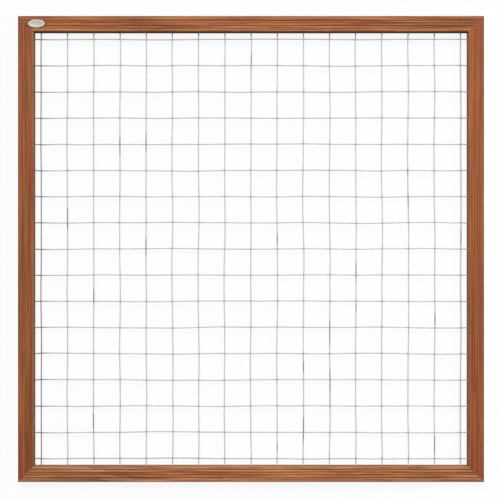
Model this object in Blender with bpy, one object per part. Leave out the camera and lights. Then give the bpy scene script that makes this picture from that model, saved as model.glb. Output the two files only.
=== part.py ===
"""Square garden fence panel: a mitred, reeded hardwood frame round a sheet of welded wire mesh.

It lies flat on its back with the reeded front up: X runs across the panel, Y up it, Z through it.
The origin is on the floor under the middle of the panel. All sizes are in metres.
"""

import math

import bmesh
import bpy
from mathutils import Matrix, Vector

# Outside of the frame
PANEL_WIDTH = 1.800
PANEL_HEIGHT = 1.800

# Section that all four frame bars are planed to
BAR_FACE = 0.060
BAR_DEPTH = 0.042
FRONT_ARRIS = 0.003
BACK_ARRIS = 0.002
ARRIS_STEPS = 3

# Reeding: narrow round-bottomed grooves along the front face, a little nearer its inner edge
REED_COUNT = 4
REED_PITCH = 0.0102
REEDS_OFF_MIDDLE = 0.0025
REED_WIDTH = 0.004
REED_DEPTH = 0.0022
REED_STEPS = 8

# Slot halfway up the inner edge, which the mesh is housed in
SLOT_DEPTH = 0.012

# Clearance of every seat, and of the closed mitres
FIT_GAP = 0.0003

# Welded mesh: level wires behind, upright wires in front
WIRE_DIAMETER = 0.0045
WIRE_SIDES = 6
MESH_PITCH = 0.1016
WELD_SINK = 0.001
LEAST_EDGE_MARGIN = 0.010

# Oval badge on the top rail, near its left end
BADGE_LENGTH = 0.066
BADGE_HEIGHT = 0.032
BADGE_THICKNESS = 0.0022
BADGE_RIM_AT_ENDS = 0.012
BADGE_RIM_AT_SIDES = 0.0065
BADGE_FIELD_SINK = 0.0008
BADGE_EDGE_ROUND = 0.0007
BADGE_FROM_LEFT_EDGE = 0.0715
BADGE_SEGMENTS = 48

# Edges that turn by more than this, in degrees, stay crisp when the piece is shaded smooth
CRISP_FROM = 40
WIRE_CRISP_FROM = 70

# Sizes that follow from those above
OPENING_WIDTH = PANEL_WIDTH - 2 * BAR_FACE
OPENING_HEIGHT = PANEL_HEIGHT - 2 * BAR_FACE
MESH_THICKNESS = 2 * WIRE_DIAMETER - WELD_SINK
SLOT_WIDTH = MESH_THICKNESS + 2 * FIT_GAP
SLOT_FROM_BACK = (BAR_DEPTH - SLOT_WIDTH) / 2
WIRE_REACH = SLOT_DEPTH - FIT_GAP
LEVEL_WIRE_Z = SLOT_FROM_BACK + FIT_GAP + WIRE_DIAMETER / 2
UPRIGHT_WIRE_Z = LEVEL_WIRE_Z + WIRE_DIAMETER - WELD_SINK
FIRST_REED = (BAR_FACE - (REED_COUNT - 1) * REED_PITCH) / 2 + REEDS_OFF_MIDDLE


def clear_scene():
    for thing in list(bpy.data.objects):
        bpy.data.objects.remove(thing)


def make_material(name, colour, roughness, metallic):
    material = bpy.data.materials.new(name)
    material.use_nodes = True
    shader = material.node_tree.nodes["Principled BSDF"]
    shader.inputs["Base Color"].default_value = (*colour, 1.0)
    shader.inputs["Roughness"].default_value = roughness
    shader.inputs["Metallic"].default_value = metallic
    material.diffuse_color = (*colour, 1.0)
    return material


def make_object(name, bm, material, crisp_from):
    bmesh.ops.recalc_face_normals(bm, faces=bm.faces)
    mesh = bpy.data.meshes.new(name)
    bm.to_mesh(mesh)
    bm.free()
    mesh.shade_smooth()
    mesh.set_sharp_from_angle(angle=math.radians(crisp_from))
    mesh.materials.append(material)
    thing = bpy.data.objects.new(name, mesh)
    bpy.context.scene.collection.objects.link(thing)
    return thing


# Frame bars


def arris(centre_y, centre_z, radius, first_angle):
    """Quarter round of a bar's section, turning left from first_angle in degrees."""
    points = []
    for step in range(ARRIS_STEPS + 1):
        angle = math.radians(first_angle + 90 * step / ARRIS_STEPS)
        points.append((centre_y + radius * math.cos(angle), centre_z + radius * math.sin(angle)))
    return points


def reed_groove(centre_y):
    """One groove of the front face, from its inner lip to its outer one, rounded at lips and bottom."""
    points = []
    for step in range(REED_STEPS + 1):
        across = 1 - 2 * step / REED_STEPS
        sunk = REED_DEPTH * (1 + math.cos(math.pi * across)) / 2
        points.append((centre_y + across * REED_WIDTH / 2, BAR_DEPTH - sunk))
    return points


def bar_section():
    """Outline of a bar as (distance from its outer edge, height above its back)."""
    inner, front = BAR_FACE, BAR_DEPTH
    slot_floor = BAR_FACE - SLOT_DEPTH
    slot_top = SLOT_FROM_BACK + SLOT_WIDTH
    outline = arris(BACK_ARRIS, BACK_ARRIS, BACK_ARRIS, 180)
    outline += arris(inner - BACK_ARRIS, BACK_ARRIS, BACK_ARRIS, 270)
    outline += [(inner, SLOT_FROM_BACK), (slot_floor, SLOT_FROM_BACK)]
    outline += [(slot_floor, slot_top), (inner, slot_top)]
    outline += arris(inner - FRONT_ARRIS, front - FRONT_ARRIS, FRONT_ARRIS, 0)
    for reed in reversed(range(REED_COUNT)):
        outline += reed_groove(FIRST_REED + reed * REED_PITCH)
    outline += arris(FRONT_ARRIS, front - FRONT_ARRIS, FRONT_ARRIS, 90)
    return outline


def frame_bar(name, long_edge, outer_edge_middle, turn, material):
    """A bar drawn along X, its outer edge on Y = 0 and both ends mitred, then turned into its place."""
    bm = bmesh.new()
    half = long_edge / 2 - FIT_GAP / math.sqrt(2)
    section = [bm.verts.new((-half, y, z)) for y, z in bar_section()]
    first_end = bm.faces.new(section)
    drawn = bmesh.ops.extrude_face_region(bm, geom=[first_end])
    far_end = [item for item in drawn["geom"] if isinstance(item, bmesh.types.BMVert)]
    bmesh.ops.translate(bm, verts=far_end, vec=(2 * half, 0, 0))
    for corner in bm.verts:
        corner.co.x -= math.copysign(corner.co.y, corner.co.x)
    bar = make_object(name, bm, material, CRISP_FROM)
    bar.rotation_euler.z = math.radians(turn)
    bar.location = outer_edge_middle
    return bar


def build_frame(wood):
    right, top = PANEL_WIDTH / 2, PANEL_HEIGHT / 2
    frame_bar("bottom_rail", PANEL_WIDTH, (0, -top, 0), 0, wood)
    frame_bar("right_stile", PANEL_HEIGHT, (right, 0, 0), 90, wood)
    frame_bar("top_rail", PANEL_WIDTH, (0, top, 0), 180, wood)
    frame_bar("left_stile", PANEL_HEIGHT, (-right, 0, 0), 270, wood)


# Welded wire mesh


def wire_places(opening):
    """Centres of the wires that cross one opening of the frame, evenly pitched about its middle."""
    cells = math.floor((opening - 2 * LEAST_EDGE_MARGIN) / MESH_PITCH)
    return [(place - cells / 2) * MESH_PITCH for place in range(cells + 1)]


def row_of_wires(name, places, length, along, across, height, zinc):
    """Straight wires of one length, side by side, each with a flat up and a flat down for its welds."""
    bm = bmesh.new()
    corner_radius = WIRE_DIAMETER / 2 / math.cos(math.pi / WIRE_SIDES)
    flats_up = Matrix.Rotation(math.pi / WIRE_SIDES, 4, "Z")
    upward = Vector((0, 0, 1))
    laid = Matrix((upward.cross(along), upward, along)).transposed().to_4x4()
    for place in places:
        middle = Matrix.Translation(across * place + Vector((0, 0, height)))
        bmesh.ops.create_cone(
            bm,
            cap_ends=True,
            segments=WIRE_SIDES,
            radius1=corner_radius,
            radius2=corner_radius,
            depth=length,
            matrix=middle @ laid @ flats_up,
        )
    return make_object(name, bm, zinc, WIRE_CRISP_FROM)


def build_mesh(zinc):
    """The two rows of wires, pressed into each other at every crossing and fused there."""
    x_axis, y_axis = Vector((1, 0, 0)), Vector((0, 1, 0))
    columns = wire_places(OPENING_WIDTH)
    rows = wire_places(OPENING_HEIGHT)
    upright_length = OPENING_HEIGHT + 2 * WIRE_REACH
    level_length = OPENING_WIDTH + 2 * WIRE_REACH
    mesh = row_of_wires("wire_mesh", columns, upright_length, y_axis, x_axis, UPRIGHT_WIRE_Z, zinc)
    level = row_of_wires("level_wires", rows, level_length, x_axis, y_axis, LEVEL_WIRE_Z, zinc)
    level.hide_render = True
    level.display_type = "WIRE"
    welds = mesh.modifiers.new("welds", "BOOLEAN")
    welds.operation = "UNION"
    welds.solver = "EXACT"
    welds.object = level


# Badge


def build_badge(metal):
    """Stamped oval plate with a raised rim and a plain field, resting across the reeds."""
    outer = Vector((BADGE_LENGTH, BADGE_HEIGHT, 0))
    rounded = Vector((BADGE_EDGE_ROUND, BADGE_EDGE_ROUND, 0))
    rim = Vector((BADGE_RIM_AT_ENDS, BADGE_RIM_AT_SIDES, 0))
    step = Vector((BADGE_FIELD_SINK, BADGE_FIELD_SINK, 0))
    height = Vector((0, 0, BADGE_THICKNESS))
    ovals = (
        outer + height - Vector((0, 0, BADGE_EDGE_ROUND)),
        outer + height - 2 * rounded,
        outer + height - 2 * rim,
        outer + height - 2 * (rim + step) - Vector((0, 0, BADGE_FIELD_SINK)),
    )
    bm = bmesh.new()
    laid = Matrix.Diagonal((outer.x, outer.y, 1, 1))
    bmesh.ops.create_circle(bm, cap_ends=True, segments=BADGE_SEGMENTS, radius=0.5, matrix=laid)
    rim_line, last = bm.edges[:], outer
    for oval in ovals:
        drawn = bmesh.ops.extrude_edge_only(bm, edges=rim_line)
        rim_line = [item for item in drawn["geom"] if isinstance(item, bmesh.types.BMEdge)]
        corners = [item for item in drawn["geom"] if isinstance(item, bmesh.types.BMVert)]
        bmesh.ops.scale(bm, verts=corners, vec=(oval.x / last.x, oval.y / last.y, 1))
        bmesh.ops.translate(bm, verts=corners, vec=(0, 0, oval.z - last.z))
        last = oval
    bmesh.ops.edgeloop_fill(bm, edges=rim_line)
    badge = make_object("oval_badge", bm, metal, CRISP_FROM)
    badge.location = (
        BADGE_FROM_LEFT_EDGE - PANEL_WIDTH / 2,
        PANEL_HEIGHT / 2 - BAR_FACE / 2,
        BAR_DEPTH + FIT_GAP,
    )


clear_scene()
build_frame(make_material("stained_hardwood", (0.30, 0.11, 0.045), 0.5, 0.0))
build_mesh(make_material("galvanised_wire", (0.55, 0.56, 0.55), 0.4, 0.9))
build_badge(make_material("badge_metal", (0.75, 0.72, 0.65), 0.35, 0.6))
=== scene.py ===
"""Square garden fence panel, lying on its back: reeded hardwood frame, wire mesh, oval badge.

X runs across the panel, Y up it to the top rail and Z out of its front. All sizes are in metres.
"""

import math

import bmesh
import bpy
from mathutils import Matrix, Vector, noise


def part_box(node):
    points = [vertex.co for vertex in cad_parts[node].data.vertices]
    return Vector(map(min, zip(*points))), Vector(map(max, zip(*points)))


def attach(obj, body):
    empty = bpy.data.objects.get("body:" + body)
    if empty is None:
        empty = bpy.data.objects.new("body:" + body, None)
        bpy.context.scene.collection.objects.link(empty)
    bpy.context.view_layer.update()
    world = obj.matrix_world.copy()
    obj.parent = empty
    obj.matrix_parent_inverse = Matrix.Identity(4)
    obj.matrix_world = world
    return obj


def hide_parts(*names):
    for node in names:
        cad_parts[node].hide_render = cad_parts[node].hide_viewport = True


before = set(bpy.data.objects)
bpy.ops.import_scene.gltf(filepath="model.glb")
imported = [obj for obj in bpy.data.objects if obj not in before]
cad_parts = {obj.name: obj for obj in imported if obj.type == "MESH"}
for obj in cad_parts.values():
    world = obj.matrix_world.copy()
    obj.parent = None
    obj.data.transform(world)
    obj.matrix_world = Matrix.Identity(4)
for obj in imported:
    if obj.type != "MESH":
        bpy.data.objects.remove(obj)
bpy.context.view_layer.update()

# The frame: two rails and two stiles planed from reddish-brown hardwood to one section, 60 x 42 mm.
# A moulder ran four round-bottomed grooves along the front of each and one slot along its inner
# edge. The ends are sawn at 45 degrees and meet in closed mitres, and the whole is oiled.

panel_right, panel_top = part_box("right_stile")[1].x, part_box("top_rail")[1].y
bar_face = panel_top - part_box("top_rail")[0].y
bar_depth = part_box("top_rail")[1].z
front_arris, back_arris, slot_arris = 0.003, 0.002, 0.0004
mitre_gap = 0.00001

# Lines drawn on a bar: beside its outer arris, where its painted shade ends, beside its mitres,
# where their stain ends, and across it, so that its grooves can wander
arris_line, mitre_lines = 0.0046, (0.0008, 0.0022)
stations, mitre_clearance = 44, 0.01

# The slot is a close fit round the mesh
mesh_low, mesh_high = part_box("wire_mesh")[0].z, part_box("wire_mesh")[1].z
seat_gap = 0.0003
slot_low, slot_high = mesh_low - seat_gap, mesh_high + seat_gap
slot_depth = 0.012

# The grooves stand a little nearer the inner edge
reed_pitch, reed_half_width, reed_depth = 0.0102, 0.002, 0.0022
reed_bottom_radius, reed_lip_radius = 0.0011, 0.0009
reeds_off_middle = 0.0025
reed_lines = [
    bar_face / 2 + reeds_off_middle + (place - 1.5) * reed_pitch for place in range(4)
]
reed_wander = 0.0005


def whole(bm):
    return bm.verts[:] + bm.edges[:] + bm.faces[:]


def of_kind(kind, parts):
    return [part for part in parts if isinstance(part, kind)]


def cut(bm, parts, at, normal, clear_outer=False):
    """Cuts a line across the parts, and where asked drops what lies beyond it."""
    return bmesh.ops.bisect_plane(
        bm,
        geom=parts,
        dist=1e-6,
        plane_co=at,
        plane_no=normal,
        clear_outer=clear_outer,
    )


def cut_faces(bm, faces, at, normal):
    parts = dict.fromkeys(faces)
    for face in faces:
        parts.update(dict.fromkeys(face.edges))
        parts.update(dict.fromkeys(face.verts))
    cut(bm, list(parts), at, normal)


def faces_towards(bm, way):
    """The faces that look this way, to within eight degrees."""
    return [face for face in bm.faces if face.normal.dot(Vector(way)) > 0.99]


def long_edges(bm, y, z):
    """The edges that run along the bar at this place of its section."""
    found = []
    for edge in bm.edges:
        one, other = edge.verts[0].co, edge.verts[1].co
        level = abs(one.y - y) < 1e-5 and abs(other.y - y) < 1e-5
        if level and abs(one.z - z) < 1e-5 and abs(other.z - z) < 1e-5:
            found.append(edge)
    return found


def round_over(bm, y, z, radius, segments):
    bmesh.ops.bevel(
        bm,
        geom=long_edges(bm, y, z),
        offset=radius,
        offset_type="OFFSET",
        segments=segments,
        profile=0.5,
        affect="EDGES",
        material=-1,
    )


def planed_bar(long_edge):
    """A square-ended bar along X with its outer edge on Y = 0, grooved, slotted and eased."""
    forward, inward = (0, 0, 1), (0, 1, 0)
    bm = bmesh.new()
    bmesh.ops.create_cube(bm, size=1)
    bmesh.ops.scale(bm, vec=(long_edge, bar_face, bar_depth), verts=bm.verts)
    bmesh.ops.translate(bm, vec=(0, bar_face / 2, bar_depth / 2), verts=bm.verts)
    for line in reed_lines:
        for side in (-1, 0, 1):
            front = faces_towards(bm, forward)
            cut_faces(bm, front, (0, line + side * reed_half_width, 0), inward)
        for vert in bm.verts:
            if abs(vert.co.y - line) < 1e-6:
                vert.co.z -= reed_depth
    for height in (slot_low, slot_high):
        cut_faces(bm, faces_towards(bm, inward), (0, 0, height), forward)
    strip = [
        face
        for face in faces_towards(bm, inward)
        if slot_low < face.calc_center_median().z < slot_high
    ]
    sunk = bmesh.ops.extrude_face_region(bm, geom=strip)
    slot_floor = of_kind(bmesh.types.BMVert, sunk["geom"])
    bmesh.ops.translate(bm, vec=(0, -slot_depth, 0), verts=slot_floor)
    bmesh.ops.delete(bm, geom=[face for face in strip if face.is_valid], context="FACES_ONLY")
    for line in reed_lines:
        round_over(bm, line, bar_depth - reed_depth, reed_bottom_radius, 4)
        round_over(bm, line - reed_half_width, bar_depth, reed_lip_radius, 3)
        round_over(bm, line + reed_half_width, bar_depth, reed_lip_radius, 3)
    round_over(bm, 0, bar_depth, front_arris, 5)
    cut_faces(bm, faces_towards(bm, forward), (0, arris_line, 0), inward)
    round_over(bm, bar_face, bar_depth, front_arris, 5)
    round_over(bm, 0, 0, back_arris, 4)
    round_over(bm, bar_face, 0, back_arris, 4)
    round_over(bm, bar_face, slot_low, slot_arris, 2)
    round_over(bm, bar_face, slot_high, slot_arris, 2)
    return bm


def saw_mitres(bm, half, long_edge):
    """Saws both ends at 45 degrees, closes them with end grain, and draws the lines across."""
    for side in (-1, 1):
        sawn = cut(bm, whole(bm), (side * half, 0, 0), (side, 1, 0), clear_outer=True)
        bmesh.ops.edgeloop_fill(bm, edges=of_kind(bmesh.types.BMEdge, sawn["geom_cut"]))
        for inside in mitre_lines:
            cut(bm, whole(bm), (side * (half - inside), 0, 0), (side, 1, 0))
    for station in range(1, stations):
        along = (station / stations - 0.5) * (long_edge - 2 * bar_face - mitre_clearance)
        cut(bm, whole(bm), (along, 0, 0), (1, 0, 0))


def stain_bar(bm, half, long_edge, plank):
    """Marks where the grain, the painted shade, the mitre stain and the wear lie, and lets the
    grooves wander as the cutters did.
    """
    grain = bm.verts.layers.float_vector.new("grain")
    hollow = bm.verts.layers.float.new("hollow")
    worn = bm.verts.layers.float.new("worn")
    outer = bm.verts.layers.float.new("outer")
    tone = bm.verts.layers.float_vector.new("tone")
    streaks = bm.verts.layers.float.new("streaks")
    figure = bm.verts.layers.float.new("figure")
    first_tone, middle_tone, last_tone = plank["tones"]
    outer_arris_shade, inner_face_shade = plank["edge_shades"]
    for vert in bm.verts:
        co = vert.co
        vert[grain] = co + Vector(plank["cut_from"])
        vert[streaks] = plank["streaks"]
        vert[figure] = plank["figure"]

        # Tone along the bar, from its first end over its middle to its last. It is partly the
        # plank's own and partly painted sheen: the rails are toned brighter and paler than the
        # stiles
        at = co.x / long_edge
        level = middle_tone * (1 - 4 * at * at)
        level += first_tone * at * (2 * at - 1) + last_tone * at * (2 * at + 1)
        vert[tone] = Vector(plank["tint"]) * level

        # Painted shade darkens the grooves and the slot, and stain gathers along the mitres
        depth = max(0.0, (bar_depth - co.z) / reed_depth)
        from_line, groove_shade = min(
            (abs(co.y - line), dark) for line, dark in zip(reed_lines, plank["reed_shades"])
        )
        in_groove = from_line < reed_half_width + 1e-4 and depth < 1.01
        vert[hollow] = depth * groove_shade if in_groove else 0.0
        slot_height = slot_low - 1e-5 < co.z < slot_high + 1e-5
        in_slot = slot_height and co.y > bar_face - slot_depth - 1e-5
        if in_slot and co.y < bar_face - 1e-4:
            vert[hollow] = 1.0

        # The arrises are rubbed, and the outer arris and the inner face are darkened with painted
        # shade
        from_edge = min(co.y, bar_face - co.y)
        on_front_arris = from_edge < front_arris + 1e-4 and co.z > bar_depth - front_arris - 1e-4
        on_back_arris = from_edge < back_arris + 1e-4 and co.z < back_arris + 1e-4
        vert[worn] = 1.0 if on_front_arris or on_back_arris else 0.0
        on_outer_arris = co.y < front_arris + 1e-4 and co.z > bar_depth - front_arris + 1e-4
        vert[outer] = outer_arris_shade if on_outer_arris else 0.0
        if co.y > bar_face - slot_arris and not in_slot:
            vert[outer] = inner_face_shade
            vert[hollow] = 2.2 * inner_face_shade
        if half - abs(co.x) - co.y < 0.0005:
            vert[hollow] = 1.0
        if in_groove:
            wander = noise.noise(Vector((co.x * 5, plank["cut_from"][1] * 90 + co.y * 40, 0)))
            co.z += reed_wander * wander * depth


def make_piece(name, bm, crisp_from):
    """An object of the shape. Edges that turn by more than crisp_from degrees stay crisp."""
    mesh = bpy.data.meshes.new(name)
    bm.to_mesh(mesh)
    bm.free()
    mesh.shade_smooth()
    mesh.set_sharp_from_angle(angle=math.radians(crisp_from))
    piece = bpy.data.objects.new(name, mesh)
    bpy.context.scene.collection.objects.link(piece)
    return piece


def machined_bar(name, node, long_edge, place, turn, plank):
    """One bar, turned to its side of the panel. long_edge is its length along its outer edge."""
    bm = planed_bar(long_edge)
    half = long_edge / 2 - mitre_gap / math.sqrt(2)
    saw_mitres(bm, half, long_edge)
    stain_bar(bm, half, long_edge, plank)
    to_place = Matrix.Translation(place) @ Matrix.Rotation(math.radians(turn), 4, "Z")
    bmesh.ops.transform(bm, matrix=to_place, verts=bm.verts)
    bmesh.ops.recalc_face_normals(bm, faces=bm.faces)
    piece = make_piece(name, bm, 40)
    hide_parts(node)
    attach(piece, "root")
    return piece


# The four planks: where in the tree each was cut from, how strong its streaks and figure are, its
# tone at both ends and between, its tint, and the painted shade in its grooves, on its outer arris
# and on its inner face
# The rails' tones and tints are brighter and paler than the stiles': painted sheen, for light that
# the rails' grain catches and the stiles' does not
stile_tint, unshaded_reeds = (1.0, 0.94, 0.92), (0.0, 0.0, 0.0, 0.0)
top_plank = {
    "cut_from": (0.0, 0.31, 0.0),
    "streaks": 0.5,
    "figure": 0.8,
    "tones": (1.02, 1.17, 1.15),
    "tint": (1.0, 1.05, 1.03),
    "reed_shades": (2.6, 1.1, 2.0, 0.6),
    "edge_shades": (0.5, 0.9),
}
bottom_plank = {
    "cut_from": (4.3, 0.12, 0.01),
    "streaks": 0.6,
    "figure": 1.0,
    "tones": (1.11, 1.22, 1.10),
    "tint": (1.0, 1.16, 1.28),
    "reed_shades": (2.6, 1.4, 1.6, 1.4),
    "edge_shades": (0.5, 0.0),
}
left_plank = {
    "cut_from": (7.2, 0.41, 0.05),
    "streaks": 1.0,
    "figure": 0.65,
    "tones": (0.99, 0.90, 0.84),
    "tint": stile_tint,
    "reed_shades": unshaded_reeds,
    "edge_shades": (0.9, 0.0),
}
right_plank = {
    "cut_from": (13.7, 0.83, 0.03),
    "streaks": 0.6,
    "figure": 0.5,
    "tones": (0.83, 0.93, 1.04),
    "tint": stile_tint,
    "reed_shades": unshaded_reeds,
    "edge_shades": (0.9, 0.0),
}
width, height = 2 * panel_right, 2 * panel_top
bars = [
    machined_bar("top_rail_wood", "top_rail", width, (0, panel_top, 0), 180, top_plank),
    machined_bar("bottom_rail_wood", "bottom_rail", width, (0, -panel_top, 0), 0, bottom_plank),
    machined_bar("left_stile_wood", "left_stile", height, (-panel_right, 0, 0), 270, left_plank),
    machined_bar("right_stile_wood", "right_stile", height, (panel_right, 0, 0), 90, right_plank),
]


def new_finish(name):
    """A material, its nodes and its shader."""
    finish = bpy.data.materials.new(name)
    finish.use_nodes = True
    return finish, finish.node_tree, finish.node_tree.nodes["Principled BSDF"]


def add(tree, kind, inputs=None, **settings):
    """A shader node with its settings, each input set to a value or linked to an output."""
    node = tree.nodes.new(kind)
    for key, value in settings.items():
        setattr(node, key, value)
    for key, value in (inputs or {}).items():
        if isinstance(value, bpy.types.NodeSocket):
            tree.links.new(value, node.inputs[key])
        else:
            node.inputs[key].default_value = value
    return node


def mark(tree, name, output="Fac"):
    """What was marked on each point of the piece under this name."""
    return add(tree, "ShaderNodeAttribute", attribute_name=name).outputs[output]


def times(tree, value, by, plus=None, clamp=False):
    """One value times another, and a third added where it is given."""
    inputs, operation = {0: value, 1: by}, "MULTIPLY"
    if plus is not None:
        inputs[2], operation = plus, "MULTIPLY_ADD"
    return add(tree, "ShaderNodeMath", inputs, operation=operation, use_clamp=clamp).outputs[0]


def vector_step(tree, operation, *values):
    """One step of arithmetic on vectors. A length comes out as a value."""
    node = add(tree, "ShaderNodeVectorMath", dict(enumerate(values)), operation=operation)
    return node.outputs["Value" if operation == "LENGTH" else "Vector"]


def ramp(tree, factor, stops):
    """A colour ramp of (place, colour) stops, where a plain number is a grey."""
    node = add(tree, "ShaderNodeValToRGB", {"Fac": factor})
    elements = node.color_ramp.elements
    while len(elements) < len(stops):
        elements.new(0.5)
    for element, (place, colour) in zip(elements, stops):
        element.position = place
        element.color = (colour,) * 3 + (1.0,) if isinstance(colour, float) else (*colour, 1.0)
    return node.outputs["Color"]


def blend(tree, mode, factor, first, second):
    """Two colours mixed, each a value or an output, as the factor is."""
    node = add(tree, "ShaderNodeMix", {"Factor": factor}, data_type="RGBA", blend_type=mode)
    for socket, value in ((node.inputs[6], first), (node.inputs[7], second)):
        if isinstance(value, bpy.types.NodeSocket):
            tree.links.new(value, socket)
        else:
            socket.default_value = (*value, 1.0)
    return node.outputs[2]


def grained(tree, vector, along, across, detail, rough, shift=0.0, distortion=0.0):
    """Noise drawn out along the grain: so many features to a metre along it and across it."""
    scaled = add(
        tree,
        "ShaderNodeMapping",
        {"Vector": vector, "Scale": (along, across, across), "Location": (shift, shift, shift)},
    )
    made = add(
        tree,
        "ShaderNodeTexNoise",
        {
            "Vector": scaled.outputs["Vector"],
            "Scale": 1.0,
            "Detail": detail,
            "Roughness": rough,
            "Distortion": distortion,
        },
    )
    return made.outputs["Fac"]


def bump(tree, height, strength, depth):
    inputs = {"Height": height, "Strength": strength, "Distance": depth}
    return add(tree, "ShaderNodeBump", inputs).outputs["Normal"]


hardwood, tree, shader = new_finish("oiled_hardwood")
grain_at = mark(tree, "grain", "Vector")
hollow_at = mark(tree, "hollow")
worn_at = mark(tree, "worn")
outer_at = mark(tree, "outer")
tone_at = mark(tree, "tone", "Vector")
streaks_at = mark(tree, "streaks")
figure_at = mark(tree, "figure")

# The fibres wander by a few millimetres, so everything below is read at a slightly shifted place
fibre_drift = 0.016
drift = grained(tree, grain_at, 2.2, 9.0, 2.0, 0.5)
drift = add(tree, "ShaderNodeMath", {0: drift, 1: 0.5}, operation="SUBTRACT").outputs[0]
drift = times(tree, drift, fibre_drift)
drift = add(tree, "ShaderNodeCombineXYZ", {"Y": drift, "Z": drift}).outputs[0]
fibre = vector_step(tree, "ADD", grain_at, drift)

# Hue runs in streaks from red to yellow, over one plain brown
plain_brown = (0.350, 0.104, 0.0275)
streak_browns = [
    (0.33, (0.365, 0.082, 0.030)),
    (0.45, (0.345, 0.096, 0.026)),
    (0.56, (0.360, 0.114, 0.027)),
    (0.66, (0.325, 0.118, 0.022)),
]
hue = grained(tree, fibre, 2.6, 58.0, 2.0, 0.5, shift=21.3, distortion=0.3)
colour = blend(tree, "MIX", streaks_at, plain_brown, ramp(tree, hue, streak_browns))

# Figure: broad bands and narrow lines, darker and paler
paler, darker = (0.70, 0.775, 0.90), (0.28, 0.235, 0.18)
broad = grained(tree, fibre, 3.4, 90.0, 3.0, 0.5, distortion=0.25)
bands = ramp(tree, broad, [(0.34, darker), (0.66, paler)])
colour = blend(tree, "OVERLAY", figure_at, colour, bands)
narrow = grained(tree, fibre, 4.5, 330.0, 5.0, 0.6, shift=3.7)
lines = ramp(tree, narrow, [(0.3, darker), (0.7, paler)])
colour = blend(tree, "OVERLAY", figure_at, colour, lines)

# Pale streaks, where the stain took less: most on the rails, none on the right stile
barely_stained = (0.61, 0.315, 0.185)
resisted = grained(tree, fibre, 2.6, 240.0, 3.0, 0.55, shift=12.9)
resisted = ramp(tree, resisted, [(0.54, 0.0), (0.66, 1.0)])
resisted = times(tree, resisted, times(tree, figure_at, 1.2, plus=-0.6, clamp=True))
colour = blend(tree, "MIX", resisted, colour, barely_stained)

# Growth rings of a flat-sawn plank, with the tree's centre well behind the face
late_wood = [(0.0, 1.0), (0.8, (0.80, 0.75, 0.67)), (1.0, (0.62, 0.54, 0.42))]
rings_at = add(
    tree,
    "ShaderNodeMapping",
    {"Vector": fibre, "Location": (0, -0.045, 0.085), "Scale": (0.35, 1, 1)},
).outputs["Vector"]
rings = add(
    tree,
    "ShaderNodeTexWave",
    {
        "Vector": rings_at,
        "Scale": 75.0,
        "Distortion": 3.2,
        "Detail": 3.0,
        "Detail Scale": 0.35,
        "Detail Roughness": 0.6,
    },
    wave_type="RINGS",
    rings_direction="X",
    wave_profile="SAW",
).outputs["Fac"]
colour = blend(tree, "MULTIPLY", 0.45, colour, ramp(tree, rings, late_wood))

# Open pores, seen as short dark dashes
pore_brown = (0.40, 0.28, 0.22)
pores = grained(tree, fibre, 55.0, 2100.0, 2.0, 0.5, shift=9.1)
pores = ramp(tree, pores, [(0.60, 0.0), (0.70, 1.0)])
colour = blend(tree, "MULTIPLY", times(tree, pores, 0.55), colour, pore_brown)

# Painted shade in the grooves, the slot, on the outer arris and on the top rail's inner face, stain
# along the mitres, and oil rubbed thin on the arrises
shade_and_mitre_stain, edge_shade_colour, rubbed_wood = (0.42, 0.29, 0.16), (0.40, 0.34, 0.36), (0.44, 0.20, 0.10)
shade_and_mitre_mask = grained(tree, grain_at, 4.0, 40.0, 3.0, 0.6, shift=5.3)
shade_and_mitre_mask = times(tree, ramp(tree, shade_and_mitre_mask, [(0.3, 0.55), (0.7, 1.0)]), hollow_at)
colour = blend(tree, "MULTIPLY", shade_and_mitre_mask, colour, shade_and_mitre_stain)
# Painted shade on the outer arris and on the top rail's inner face
colour = blend(tree, "MULTIPLY", outer_at, colour, edge_shade_colour)
rubbed = grained(tree, grain_at, 14.0, 60.0, 4.0, 0.65, shift=7.9)
rubbed = times(tree, ramp(tree, rubbed, [(0.50, 0.0), (0.66, 0.45)]), worn_at)
colour = blend(tree, "MIX", rubbed, colour, rubbed_wood)
wood_colour = blend(tree, "MULTIPLY", 1.0, colour, tone_at)
tree.links.new(wood_colour, shader.inputs["Base Color"])

# Satin oil, duller in the pores, under the painted shade and along the mitres
shader.inputs["Specular IOR Level"].default_value = 0.3
dull = ramp(tree, narrow, [(0.3, 0.46), (0.7, 0.60)])
dull = times(tree, pores, 0.2, plus=dull)
dull = times(tree, hollow_at, 0.2, plus=dull)
tree.links.new(dull, shader.inputs["Roughness"])
relief = times(tree, pores, -0.7, plus=narrow)
tree.links.new(bump(tree, relief, 0.5, 0.0006), shader.inputs["Normal"])
for bar in bars:
    bar.data.materials.append(hardwood)

# The mesh: drawn steel wires, 4.5 mm thick, laid upright over level at 4 inch pitch and resistance
# welded at every crossing, then galvanised. Each weld lets the wires into each other, squeezes up a
# small fillet between them and leaves the mark of the electrode on their outer sides.

wire_radius, wire_sides = 0.00225, 12
pitch, wires = 0.1016, 17
level_z, upright_z = mesh_low + wire_radius, mesh_high - wire_radius

# Rings of a wire: close together at the weld, and a few more where it waves
wire_rings = (-0.034, -0.018, -0.0075, -0.0042, 0.0, 0.0042, 0.0075, 0.018, 0.034)
weld_fillet = 0.0006
electrode_mark, electrode_reach = 0.00022, 0.0058
weld_burn_reach = 0.0125


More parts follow.
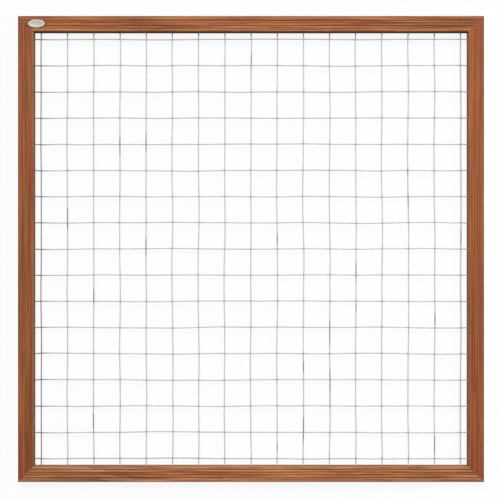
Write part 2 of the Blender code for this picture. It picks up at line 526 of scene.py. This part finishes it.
def short_wire(name, along, height, index):
    """One pitch of wire with rings along it. Its slot number tells the wires apart once welded."""
    bm = bmesh.new()
    upward = Vector((0, 0, 1))
    lift = Matrix.Translation((0, 0, height))
    laid = Matrix((upward.cross(along), upward, along)).transposed().to_4x4()
    flats_up = Matrix.Rotation(math.pi / wire_sides, 4, "Z")
    bmesh.ops.create_cone(
        bm,
        cap_ends=True,
        segments=wire_sides,
        radius1=wire_radius,
        radius2=wire_radius,
        depth=pitch,
        matrix=lift @ laid @ flats_up,
    )
    for ring in wire_rings:
        cut(bm, whole(bm), along * ring, along)
    for face in bm.faces:
        face.material_index = index
    mesh = bpy.data.meshes.new(name)
    bm.to_mesh(mesh)
    bm.free()
    for direction in ("upright", "level"):
        mesh.materials.append(None)
    wire = bpy.data.objects.new(name, mesh)
    bpy.context.scene.collection.objects.link(wire)
    return wire


def finished_shape(thing):
    """The shape of a thing with its modifiers carried out. The thing itself is taken away."""
    bpy.context.view_layer.update()
    bm = bmesh.new()
    bm.from_mesh(thing.evaluated_get(bpy.context.evaluated_depsgraph_get()).data)
    bpy.data.objects.remove(thing)
    return bm


# One crossing: the wires welded, the seam between them filled and the electrodes' marks pressed in
upright = short_wire("upright_wire", Vector((0, 1, 0)), upright_z, 0)
level = short_wire("level_wire", Vector((1, 0, 0)), level_z, 1)
weld = upright.modifiers.new("weld", "BOOLEAN")
weld.operation = "UNION"
weld.solver = "EXACT"
weld.object = level
crossing = finished_shape(upright)
bpy.data.objects.remove(level)
seam = [
    edge for edge in crossing.edges if len({face.material_index for face in edge.link_faces}) == 2
]
bmesh.ops.bevel(
    crossing,
    geom=seam,
    offset=weld_fillet,
    offset_type="OFFSET",
    segments=2,
    profile=0.5,
    affect="EDGES",
    material=-1,
    clamp_overlap=True,
)
caps = [
    face
    for face in crossing.faces
    if max(abs(face.calc_center_median().x), abs(face.calc_center_median().y)) > pitch / 2 - 1e-5
]
bmesh.ops.delete(crossing, geom=caps, context="FACES")
for vert in crossing.verts:
    near = max(0.0, 1 - (max(abs(vert.co.x), abs(vert.co.y)) / electrode_reach) ** 2)
    top, bottom = mesh_high - electrode_mark * near, mesh_low + electrode_mark * near
    vert.co.z = min(max(vert.co.z, bottom), top)
for face in crossing.faces:
    face.material_index = 0
crossing_mesh = bpy.data.meshes.new("crossing")
crossing.to_mesh(crossing_mesh)
crossing.free()

# The crossing is repeated over the sheet, which is then cut to reach into the slots
tile = bpy.data.objects.new("crossing", crossing_mesh)
bpy.context.scene.collection.objects.link(tile)
for offset in ((pitch, 0, 0), (0, pitch, 0)):
    rows = tile.modifiers.new("rows", "ARRAY")
    rows.count = wires
    rows.use_relative_offset = False
    rows.use_constant_offset = True
    rows.constant_offset_displace = offset
    rows.use_merge_vertices = True
    rows.merge_threshold = 0.0001
bm = finished_shape(tile)
first = -(wires - 1) / 2 * pitch
bmesh.ops.translate(bm, vec=(first, first, 0), verts=bm.verts)
into_slot = slot_depth - seat_gap - bar_face
reach = Vector((panel_right + into_slot, panel_top + into_slot, 0))
for way in (Vector((1, 0, 0)), Vector((-1, 0, 0)), Vector((0, 1, 0)), Vector((0, -1, 0))):
    trimmed = cut(bm, whole(bm), way * abs(way.dot(reach)), way, clear_outer=True)
    bmesh.ops.holes_fill(bm, edges=of_kind(bmesh.types.BMEdge, trimmed["geom_cut"]))


def limited(value):
    return min(1.0, max(0.0, value))


def nearest_wire(place):
    return round((place - first) / pitch) * pitch + first


# The zinc is darker near the left stile, and a little darker along all four bars, where it is
# painted shade from the frame. The top rail's shadow is painted on the wires next to it, and short
# lengths of the upright wires have weathered dark. No wire is dead straight: the rolled sheet waves
# by a few millimetres where the frame lets it. The seed makes the waves the same each run.
wave_size, wave_free_from = 0.0034, 0.055
noise.seed_set(4)
welded = bm.verts.layers.float.new("weld")
darker_near_frame = bm.verts.layers.float.new("darker_near_frame")
top_rail_shadow = bm.verts.layers.float.new("top_rail_shadow")
weathered = bm.verts.layers.float.new("weathered")
for vert in bm.verts:
    co = vert.co
    column, row = nearest_wire(co.x), nearest_wire(co.y)
    from_column, from_row = abs(co.x - column), abs(co.y - row)
    vert[welded] = max(0.0, 1 - max(from_column, from_row) / weld_burn_reach)
    from_frame = min(reach.x - abs(co.x), reach.y - abs(co.y))
    # Darker near the left stile, and painted shade from the frame along all four bars
    by_left = limited((0.115 - (reach.x + co.x)) / 0.075)
    by_frame = limited((0.06 - from_frame) / 0.02)
    vert[darker_near_frame] = max(by_left * by_left, 0.15 * by_frame)
    # Painted shadow of the top rail on the wires next to it
    vert[top_rail_shadow] = limited((0.034 - (reach.y - co.y)) / 0.010)
    if from_column < from_row:
        patch = noise.noise(Vector((column * 31, co.y * 11, 4.4)))
        vert[weathered] = limited((patch - 0.50) / 0.08)
    free = limited(from_frame / wave_free_from)
    free = free * free * (3 - 2 * free)
    wave = noise.noise_vector(Vector((co.x * 4.3, co.y * 4.3, 7.1)))
    wave += 0.3 * noise.noise_vector(Vector((co.x * 8.1, co.y * 8.1, 3.3)))
    co.x += wave_size * wave.x * free
    co.y += wave_size * wave.y * free
bmesh.ops.recalc_face_normals(bm, faces=bm.faces)
mesh_piece = make_piece("mesh_wires", bm, 60)
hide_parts("wire_mesh")
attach(mesh_piece, "root")


def mottled(tree, here, scale, detail, rough):
    """Even noise of so many features to a metre."""
    inputs = {"Vector": here, "Scale": scale, "Detail": detail, "Roughness": rough}
    return add(tree, "ShaderNodeTexNoise", inputs).outputs["Fac"]


# Grey zinc with clouds, fine specks and the small crystals of the dip
zinc, tree, shader = new_finish("galvanised_zinc")
zinc_greys = [(0.30, 0.54), (0.52, (0.625, 0.62, 0.615)), (0.72, (0.685, 0.68, 0.665))]
# The zinc darker near the frame is partly painted shade, and the top rail's shadow on the wires is
# painted
weld_burn, near_frame_zinc = (0.62, 0.62, 0.63), (0.47, 0.47, 0.465)
weathered_zinc, top_rail_shadow_colour = (0.37, 0.385, 0.385), (0.40, 0.34, 0.29)
here = add(tree, "ShaderNodeTexCoord").outputs["Object"]
weld_at = mark(tree, "weld")
cloud = mottled(tree, here, 38.0, 4.0, 0.6)
speck = mottled(tree, here, 900.0, 3.0, 0.65)
crystals = {"Vector": here, "Scale": 420.0, "Randomness": 1.0}
spangle = add(tree, "ShaderNodeTexVoronoi", crystals).outputs["Color"]
spangle = add(tree, "ShaderNodeSeparateColor", {"Color": spangle}).outputs[0]
colour = ramp(tree, cloud, zinc_greys)
colour = blend(tree, "MULTIPLY", 0.5, colour, ramp(tree, spangle, [(0.0, 0.82), (1.0, 1.0)]))
colour = blend(tree, "MULTIPLY", 0.6, colour, ramp(tree, speck, [(0.30, 0.70), (0.50, 1.0)]))

# Welds burnt darker, then the places that were marked above: darker near the frame, weathered, and
# the top rail's painted shadow
burnt = times(tree, ramp(tree, speck, [(0.35, 0.25), (0.65, 0.75)]), weld_at)
colour = blend(tree, "MULTIPLY", burnt, colour, weld_burn)
colour = blend(tree, "MULTIPLY", mark(tree, "darker_near_frame"), colour, near_frame_zinc)
colour = blend(tree, "MULTIPLY", mark(tree, "weathered"), colour, weathered_zinc)
top_rail_shadow_mask = times(tree, ramp(tree, cloud, [(0.38, 0.75), (0.62, 1.0)]), mark(tree, "top_rail_shadow"))
colour = blend(tree, "MULTIPLY", top_rail_shadow_mask, colour, top_rail_shadow_colour)
tree.links.new(colour, shader.inputs["Base Color"])
shader.inputs["Metallic"].default_value = 0.25
shader.inputs["Specular IOR Level"].default_value = 0.3
dull = times(tree, weld_at, 0.18, plus=ramp(tree, cloud, [(0.3, 0.52), (0.7, 0.68)]))
tree.links.new(dull, shader.inputs["Roughness"])
relief = times(tree, speck, 0.6, plus=cloud)
tree.links.new(bump(tree, relief, 0.35, 0.0004), shader.inputs["Normal"])
mesh_piece.data.materials.append(zinc)

# The badge: a small oval plate stamped from thin metal and finished in a pale satin enamel, with a
# rounded cream rim and a plain, slightly crowned field. It is stuck across the top rail's reeds.

badge_low, badge_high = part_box("oval_badge")
badge_middle = (badge_low + badge_high) / 2
badge_size = badge_high - badge_low

# Ovals from the edge inwards: distance from the ends and from the sides, height above the rail,
# how far it belongs to the field, and how far its enamel is rubbed
badge_ovals = (
    (0.0000, 0.0000, 0.0013, 0.0, 0.3),
    (0.0001, 0.0001, 0.0016, 0.0, 1.0),
    (0.0004, 0.0004, 0.0019, 0.0, 1.0),
    (0.0008, 0.0008, 0.0020, 0.0, 0.7),
    (0.0025, 0.0018, 0.00215, 0.0, 0.1),
    (0.0045, 0.0030, 0.0022, 0.0, 0.0),
    (0.0075, 0.0045, 0.0022, 0.0, 0.0),
    (0.0105, 0.0056, 0.0021, 0.0, 0.8),
    (0.0117, 0.0062, 0.0019, 0.3, 0.4),
    (0.0121, 0.0066, 0.0016, 1.0, 0.0),
    (0.0126, 0.0071, 0.0014, 1.0, 0.0),
    (0.0134, 0.0077, 0.0014, 1.0, 0.0),
    (0.0136, 0.0079, 0.00155, 1.0, 0.6),
    (0.0140, 0.0082, 0.0016, 1.0, 1.0),
    (0.0144, 0.0085, 0.00155, 1.0, 0.6),
    (0.0146, 0.0087, 0.0014, 1.0, 0.0),
    (0.0190, 0.0110, 0.00145, 1.0, 0.0),
    (0.0250, 0.0135, 0.0015, 1.0, 0.0),
)
bm = bmesh.new()
laid = Matrix.Diagonal((badge_size.x, badge_size.y, 1, 1))
bmesh.ops.create_circle(bm, cap_ends=True, segments=96, radius=0.5, matrix=laid)
field_layer = bm.verts.layers.float.new("field")
worn_layer = bm.verts.layers.float.new("worn")
rim_line, last = bm.edges[:], Vector((badge_size.x, badge_size.y, 0))
for from_end, from_side, rise, field, worn in badge_ovals:
    oval = Vector((badge_size.x - 2 * from_end, badge_size.y - 2 * from_side, rise))
    raised = bmesh.ops.extrude_edge_only(bm, edges=rim_line)["geom"]
    rim_line = of_kind(bmesh.types.BMEdge, raised)
    corners = of_kind(bmesh.types.BMVert, raised)
    bmesh.ops.scale(bm, vec=(oval.x / last.x, oval.y / last.y, 1), verts=corners)
    bmesh.ops.translate(bm, vec=(0, 0, oval.z - last.z), verts=corners)
    for corner in corners:
        corner[field_layer] = field
        corner[worn_layer] = worn
    last = oval
bmesh.ops.edgeloop_fill(bm, edges=rim_line)
bmesh.ops.recalc_face_normals(bm, faces=bm.faces)
bmesh.ops.translate(bm, vec=(badge_middle.x, badge_middle.y, badge_low.z), verts=bm.verts)
badge = make_piece("badge_plate", bm, 55)
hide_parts("oval_badge")
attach(badge, "root")

# Cream rim and greenish field, both faintly mottled and rubbed pale on their edges
enamel, tree, shader = new_finish("pale_enamel")
rim_creams = [(0.3, (0.52, 0.43, 0.33)), (0.65, (0.62, 0.53, 0.42))]
field_greens = [(0.3, (0.40, 0.42, 0.39)), (0.65, (0.49, 0.505, 0.47))]
rubbed_enamel = (0.66, 0.62, 0.55)
here = add(tree, "ShaderNodeTexCoord").outputs["Object"]
mottle = mottled(tree, here, 160.0, 5.0, 0.6)
rim_colour, field_colour = ramp(tree, mottle, rim_creams), ramp(tree, mottle, field_greens)
colour = blend(tree, "MIX", mark(tree, "field"), rim_colour, field_colour)
rubbed = times(tree, ramp(tree, mottle, [(0.42, 0.0), (0.58, 0.8)]), mark(tree, "worn"))
colour = blend(tree, "MIX", rubbed, colour, rubbed_enamel)
tree.links.new(colour, shader.inputs["Base Color"])
dull = times(tree, rubbed, -0.14, plus=ramp(tree, mottle, [(0.3, 0.40), (0.7, 0.56)]))
tree.links.new(dull, shader.inputs["Roughness"])
shader.inputs["Metallic"].default_value = 0.1
shader.inputs["Coat Weight"].default_value = 0.12
tree.links.new(bump(tree, mottle, 0.25, 0.0002), shader.inputs["Normal"])
badge.data.materials.append(enamel)

# Painted shadow on the rail, close round the badge
badge_contact_shade = (0.40, 0.32, 0.27)
tree = hardwood.node_tree
here = add(tree, "ShaderNodeTexCoord").outputs["Object"]
from_badge = vector_step(tree, "SUBTRACT", here, badge_middle)
oval_scale = Vector((1 / badge_size.x, 1 / badge_size.y, 0))
from_badge = vector_step(tree, "MULTIPLY", from_badge, oval_scale)
from_badge = vector_step(tree, "LENGTH", from_badge)
badge_shade_mask = ramp(tree, from_badge, [(0.50, 0.95), (0.55, 0.75), (0.62, 0.0)])
wood_with_badge_shade = blend(tree, "MULTIPLY", badge_shade_mask, wood_colour, badge_contact_shade)
tree.links.new(wood_with_badge_shade, tree.nodes["Principled BSDF"].inputs["Base Color"])

# The studio: a plain white floor, and a broad soft key light from beyond the top rail, so that the
# reeds of the rails show and the top rail's inner face is dark. A long strip light hangs high on
# the same side, and a soft light stands low at the right.

bm = bmesh.new()
bmesh.ops.create_grid(bm, x_segments=8, y_segments=8, size=40)
mesh = bpy.data.meshes.new("floor")
bm.to_mesh(mesh)
bm.free()
floor = bpy.data.objects.new("floor", mesh)
bpy.context.scene.collection.objects.link(floor)


def background_rays(tree):
    """One for rays that show the background itself: seen straight, in gloss or through glass."""
    rays = add(tree, "ShaderNodeLightPath").outputs
    shown = rays["Is Camera Ray"]
    for other in ("Is Glossy Ray", "Is Transmission Ray"):
        both = {0: shown, 1: rays[other]}
        shown = add(tree, "ShaderNodeMath", both, operation="MAXIMUM").outputs[0]
    return shown


paper = bpy.data.materials.new("white_floor")
paper.use_nodes = True
tree = paper.node_tree
tree.nodes.clear()
bounce = add(tree, "ShaderNodeBsdfDiffuse", {"Color": (0.45, 0.45, 0.45, 1)}).outputs[0]
lit = add(tree, "ShaderNodeBsdfDiffuse", {"Color": (0.93, 0.93, 0.93, 1)}).outputs[0]
glow = add(tree, "ShaderNodeEmission", {"Color": (1, 1, 1, 1), "Strength": 1.0}).outputs[0]
seen = add(tree, "ShaderNodeMixShader", {0: 0.90, 1: lit, 2: glow}).outputs[0]
by_ray = {0: background_rays(tree), 1: bounce, 2: seen}
surface = add(tree, "ShaderNodeMixShader", by_ray).outputs[0]
add(tree, "ShaderNodeOutputMaterial", {"Surface": surface})
floor.data.materials.append(paper)

# The sky lights the panel at 0.16, and is white where it is seen
sky_light = 0.16
world = bpy.data.worlds.new("studio")
bpy.context.scene.world = world
world.use_nodes = True
tree = world.node_tree
tree.nodes.clear()
strength = times(tree, background_rays(tree), 1 - sky_light, plus=sky_light)
sky = add(tree, "ShaderNodeBackground", {"Color": (1, 1, 1, 1), "Strength": strength}).outputs[0]
add(tree, "ShaderNodeOutputWorld", {"Surface": sky})


def hang_lamp(name, light, place, from_way):
    """Hangs a lamp that shines from the way it is given back towards the panel."""
    lamp = bpy.data.objects.new(name, light)
    lamp.location = place
    lamp.rotation_euler = Vector(from_way).to_track_quat("Z", "Y").to_euler()
    bpy.context.scene.collection.objects.link(lamp)


key = bpy.data.lights.new("key_light", "SUN")
key.angle = math.radians(22)
key.energy = 2.03
hang_lamp("key_light", key, (0, 0, 0), (-0.05, 0.88, 1.0))
for name, size, energy, place, from_way in (
    ("strip_light", (9.0, 1.6), 70, (0, 2.6, 4.5), (0, 2.2, 4.5)),
    ("side_light", (1.4, 4.0), 80, (4.2, -0.2, 2.0), (4.2, 0, 2.0)),
):
    soft = bpy.data.lights.new(name, "AREA")
    soft.shape = "RECTANGLE"
    soft.size, soft.size_y = size
    soft.energy = energy
    hang_lamp(name, soft, place, from_way)

# The camera looks straight down on the panel, whose front fills all but an edge of the photograph
camera_height, photo_width, sensor_width = 4.3, 1.9300, 36
camera_off_middle = -0.0039
camera = bpy.data.objects.new("camera", bpy.data.cameras.new("camera"))
camera.data.sensor_width = sensor_width
camera.data.lens = sensor_width * camera_height / photo_width
camera.location = (camera_off_middle, camera_off_middle, bar_depth + camera_height)
bpy.context.scene.collection.objects.link(camera)
bpy.context.scene.camera = camera
bpy.context.scene.view_settings.view_transform = "Standard"
